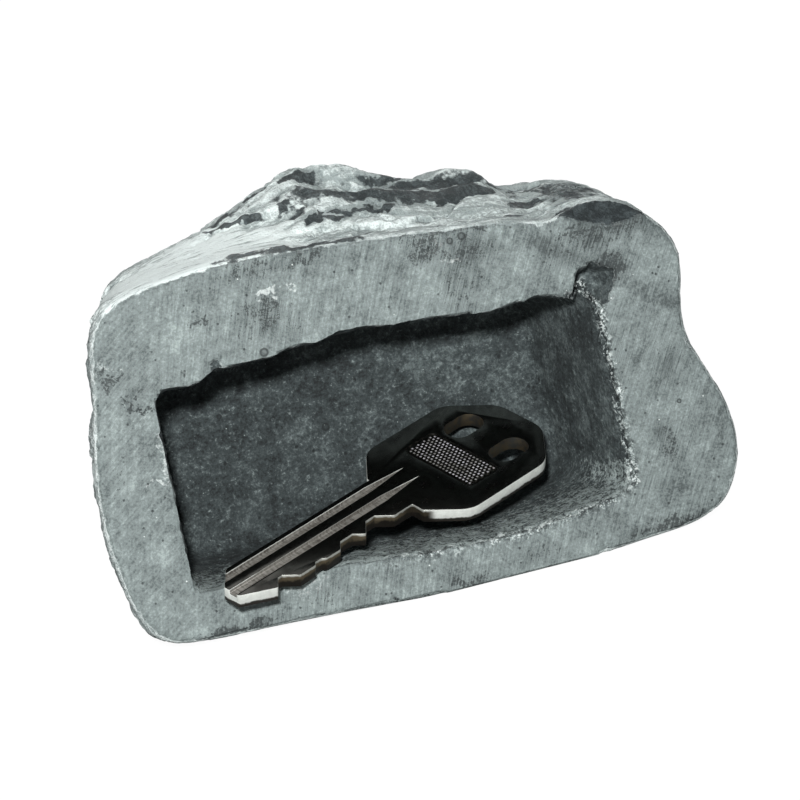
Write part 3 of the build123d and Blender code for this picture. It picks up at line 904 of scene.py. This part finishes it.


def plated_finish():
    """Nickel plate on the faces: fine handling scratches and a few dull patches."""
    finish = Finish("nickel_plate")
    x, y, z = finish.x, finish.y, finish.z
    slanted = finish.vector((x * 0.4 - y * 0.9) * 3.0, (x * 0.9 + y * 0.4) * 0.3, z * 0.5)
    hairlines = finish.grain(1.0, 3.0, 0.6, slanted)
    dull = finish.grain(0.35, 4.0, 0.6).ramp(0.45, 0.7)
    finish.fill(finish.shader.inputs["Base Color"], finish.blend(dull, NICKEL, NICKEL_DULL))
    finish.fill(finish.shader.inputs["Metallic"], 1.0)
    finish.fill(finish.shader.inputs["Roughness"], 0.14 + hairlines * 0.12 + dull * 0.08)
    finish.relief(hairlines * 0.02 + finish.grain(0.8) * 0.02, 0.6, 1.0)
    return finish.material


def edge_finish():
    """Sheared edges: a painted highlight round the bow and the tip and along the cuts' upper lip, brown
    brass where the blade was cut, and painted shade on their lower part.
    """
    finish = Finish("edge_wear_and_painted_light")
    along, across, up = (finish.stored(name) for name in ("key_along", "key_across", "key_up"))
    cuts = along.ramp(*CUTS_FROM) * along.ramp(*CUTS_TO) * across.ramp(*CUTS_SIDE)
    worn = finish.grain(0.8, 4.0, 0.65).ramp(0.3, 0.7)
    less_bright = along.ramp(*LESS_BRIGHT) * 0.55
    # Painted highlight on the edges, dimmer in places and towards the bow's end.
    colour = finish.blend((worn * 0.3).most(less_bright), EDGE_HIGHLIGHT, NICKEL)
    # A painted highlight along the cuts' upper lip.
    lip_highlight = (up + (worn - 0.5) * 0.2).ramp(*LIP)
    # The cuts darken downwards as painted shade, and at the neck with dirt.
    dirt_and_shade = (up + (worn - 0.5) * 0.5).ramp(*CUTS_SHADED_BELOW).most(along.ramp(*NECK) * 0.7)
    brown = finish.blend(dirt_and_shade, BRASS_WORN, BRASS_DARK)
    colour = finish.blend(cuts, colour, finish.blend(lip_highlight * 0.6, brown, EDGE_HIGHLIGHT))
    # Painted shade darkens the lower part of every edge.
    lower_shade = (up + (worn - 0.5) * 0.25).ramp(*LOWER_SHADE)
    colour = finish.blend(lower_shade, colour, BRASS_DARK)
    finish.fill(finish.shader.inputs["Base Color"], colour)
    finish.fill(finish.shader.inputs["Metallic"], 0.2 + cuts * 0.5)
    finish.fill(finish.shader.inputs["Roughness"], 0.36 + worn * 0.2)
    finish.relief(finish.grain(2.6, 3.0, 0.6) * 0.05, 0.7, 1.0)
    return finish.material


def milled_finish():
    """The milled grooves: bare metal with the cutter's fine cross marks."""
    finish = Finish("milled_groove")
    along, across = finish.stored("key_along"), finish.stored("key_across")
    marks = finish.grain(1.0, 3.0, 0.6, finish.vector(along * 3.0, across * 0.8, 0.0))
    streak = finish.grain(1.0, 2.0, 0.5, finish.vector(along * 0.1, across * 4.0, 2.0))
    finish.fill(finish.shader.inputs["Base Color"],
                finish.blend((marks * 0.8 + streak * 0.5).ramp(0.5, 0.85), MILLED, MILLED_DARK))
    finish.fill(finish.shader.inputs["Metallic"], 0.4)
    finish.fill(finish.shader.inputs["Roughness"], 0.36 + marks * 0.2)
    finish.relief(marks * 0.04, 0.6, 1.0)
    return finish.material


def point_finish():
    """The pressed grip's points, their tops painted near white as highlights."""
    finish = Finish("knurl_point")
    highlight_share = finish.grain(0.5, 3.0, 0.6).ramp(0.3, 0.7)
    finish.fill(finish.shader.inputs["Base Color"], finish.blend(highlight_share, NICKEL, KNURL_HIGHLIGHT))
    finish.fill(finish.shader.inputs["Metallic"], 0.1)
    finish.fill(finish.shader.inputs["Roughness"], 0.34)
    return finish.material


def slot_finish():
    """Walls of the bow's slots: plated thinly, so brown shows through."""
    finish = Finish("slot_wall")
    thin = finish.grain(0.9, 4.0, 0.65).ramp(0.35, 0.65)
    finish.fill(finish.shader.inputs["Base Color"], finish.blend(thin, NICKEL_DULL, BRASS_WORN))
    finish.fill(finish.shader.inputs["Metallic"], 0.8)
    finish.fill(finish.shader.inputs["Roughness"], 0.3 + thin * 0.15)
    return finish.material


house_key = bpy.data.objects.new("house_key", key_mesh(key_place()))
bpy.context.collection.objects.link(house_key)
for make in (plated_finish, edge_finish, milled_finish, point_finish, slot_finish):
    house_key.data.materials.append(make())
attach(house_key, "key")
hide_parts("key")

# --- Camera ------------------------------------------------------------------------------------
# It looks into the recess from a little to the left and above, and is rolled against the rock.
CAMERA_TURN = 12.86         # degrees to the left of the cut face's normal
CAMERA_RISE = 6.97          # degrees above it
CAMERA_ROLL = 11.9
CAMERA_DISTANCE = 500.0
CAMERA_AIM = Vector((1.5, 5.5, 0.0))
CAMERA_NEAR = 0.01          # nothing closer than this is drawn, in metres
SENSOR = 36.0
LENS = 160.65

turn, rise, roll = (math.radians(angle) for angle in (CAMERA_TURN, CAMERA_RISE, CAMERA_ROLL))
to_camera = Vector((-math.sin(turn) * math.cos(rise), math.sin(rise), math.cos(turn) * math.cos(rise)))
level_right = Vector((math.cos(turn), 0.0, math.sin(turn)))
level_up = to_camera.cross(level_right)
camera_right = level_right * math.cos(roll) - level_up * math.sin(roll)
camera_up = to_camera.cross(camera_right)

camera_data = bpy.data.cameras.new("camera")
camera_data.sensor_width = SENSOR
camera_data.lens = LENS
camera_data.clip_start = CAMERA_NEAR
camera = bpy.data.objects.new("camera", camera_data)
bpy.context.collection.objects.link(camera)
camera_axes = Matrix((camera_right, camera_up, to_camera)).transposed()
camera.matrix_world = (Matrix.Translation(face_to_row @ (CAMERA_AIM + to_camera * CAMERA_DISTANCE))
                       @ (face_turn @ camera_axes).to_4x4())
bpy.context.scene.camera = camera

# --- Floor, lights and background --------------------------------------------------------------
# A pale floor that goes white to the camera and keeps a soft shadow, a small lamp by the camera that
# looks into the recess, a weak wide one overhead and a soft one behind. Sizes and places are in
# metres, but what is measured from the cut face is in millimetres there.
FLOOR_SIZE = 6.0
FLOOR_TINT = tint(150, 152, 152)
FLOOR_GLOW = 1.22
GLOW_SHARE = 0.8            # how much of the floor is its glow, to the camera
LAMPS_AIM = Vector((0, 4, -8))      # in the cut face's frame
FRONT_DISTANCE = 550.0      # of the front lamp from the mouth's middle
FRONT_RAISE = 0.13          # and how far it stands above and left of the camera's line
FRONT_SHIFT = -0.055
FRONT_SIZE, FRONT_POWER = 0.035, 3.9
TOP_PLACE, TOP_SIZE, TOP_POWER = Vector((-0.15, -0.1, 0.75)), 0.7, 0.35
BACK_PLACE, BACK_SIZE, BACK_POWER = Vector((0.25, 0.8, 0.55)), 0.6, 5.0

bpy.ops.mesh.primitive_plane_add(size=FLOOR_SIZE, location=(0, 0, 0))
floor = bpy.context.object
floor.name = "floor"
floor_finish = Finish("pale_floor")
is_camera = floor_finish.node("ShaderNodeLightPath", {}, {}).outputs["Is Camera Ray"]
floor_finish.fill(floor_finish.shader.inputs["Base Color"], FLOOR_TINT)
floor_finish.fill(floor_finish.shader.inputs["Roughness"], 0.9)
glow = floor_finish.node("ShaderNodeEmission", {}, {"Color": (1, 1, 1, 1), "Strength": FLOOR_GLOW})
seen = Tone(floor_finish, is_camera) * GLOW_SHARE
mixed = floor_finish.node("ShaderNodeMixShader", {}, {
    0: seen, 1: floor_finish.shader.outputs[0], 2: glow.outputs[0]})
floor_finish.fill(floor_finish.tree.nodes["Material Output"].inputs["Surface"], mixed.outputs[0])
floor.data.materials.append(floor_finish.material)


def lamp(name, place, aim, size, power):
    """A soft square lamp that looks from place to aim, both in the row frame."""
    data = bpy.data.lights.new(name, "AREA")
    data.size = size
    data.energy = power
    made = bpy.data.objects.new(name, data)
    made.location = place
    made.rotation_euler = (aim - place).to_track_quat("-Z", "Y").to_euler()
    bpy.context.collection.objects.link(made)


middle = face_to_row @ LAMPS_AIM
front_way = to_camera + camera_up * FRONT_RAISE + camera_right * FRONT_SHIFT
lamp("front_lamp", face_to_row @ (front_way * FRONT_DISTANCE), middle, FRONT_SIZE, FRONT_POWER)
lamp("top_lamp", TOP_PLACE, middle, TOP_SIZE, TOP_POWER)
lamp("back_lamp", BACK_PLACE, middle, BACK_SIZE, BACK_POWER)

# The world is white to the camera, dim in mirrors and dimmer as a light
WORLD_LIGHT = 0.05
WORLD_IN_MIRRORS = 0.25
world = bpy.data.worlds.new("world")
bpy.context.scene.world = world
world.use_nodes = True
sky = Nodes(world.node_tree)
rays = sky.node("ShaderNodeLightPath", {}, {}).outputs
white = Tone(sky, rays["Is Camera Ray"]) + Tone(sky, rays["Is Glossy Ray"]) * WORLD_IN_MIRRORS
background = world.node_tree.nodes["Background"]
sky.fill(background.inputs["Color"], (1, 1, 1, 1))
sky.fill(background.inputs["Strength"], white.most(WORLD_LIGHT))
bpy.context.scene.view_settings.view_transform = "Standard"
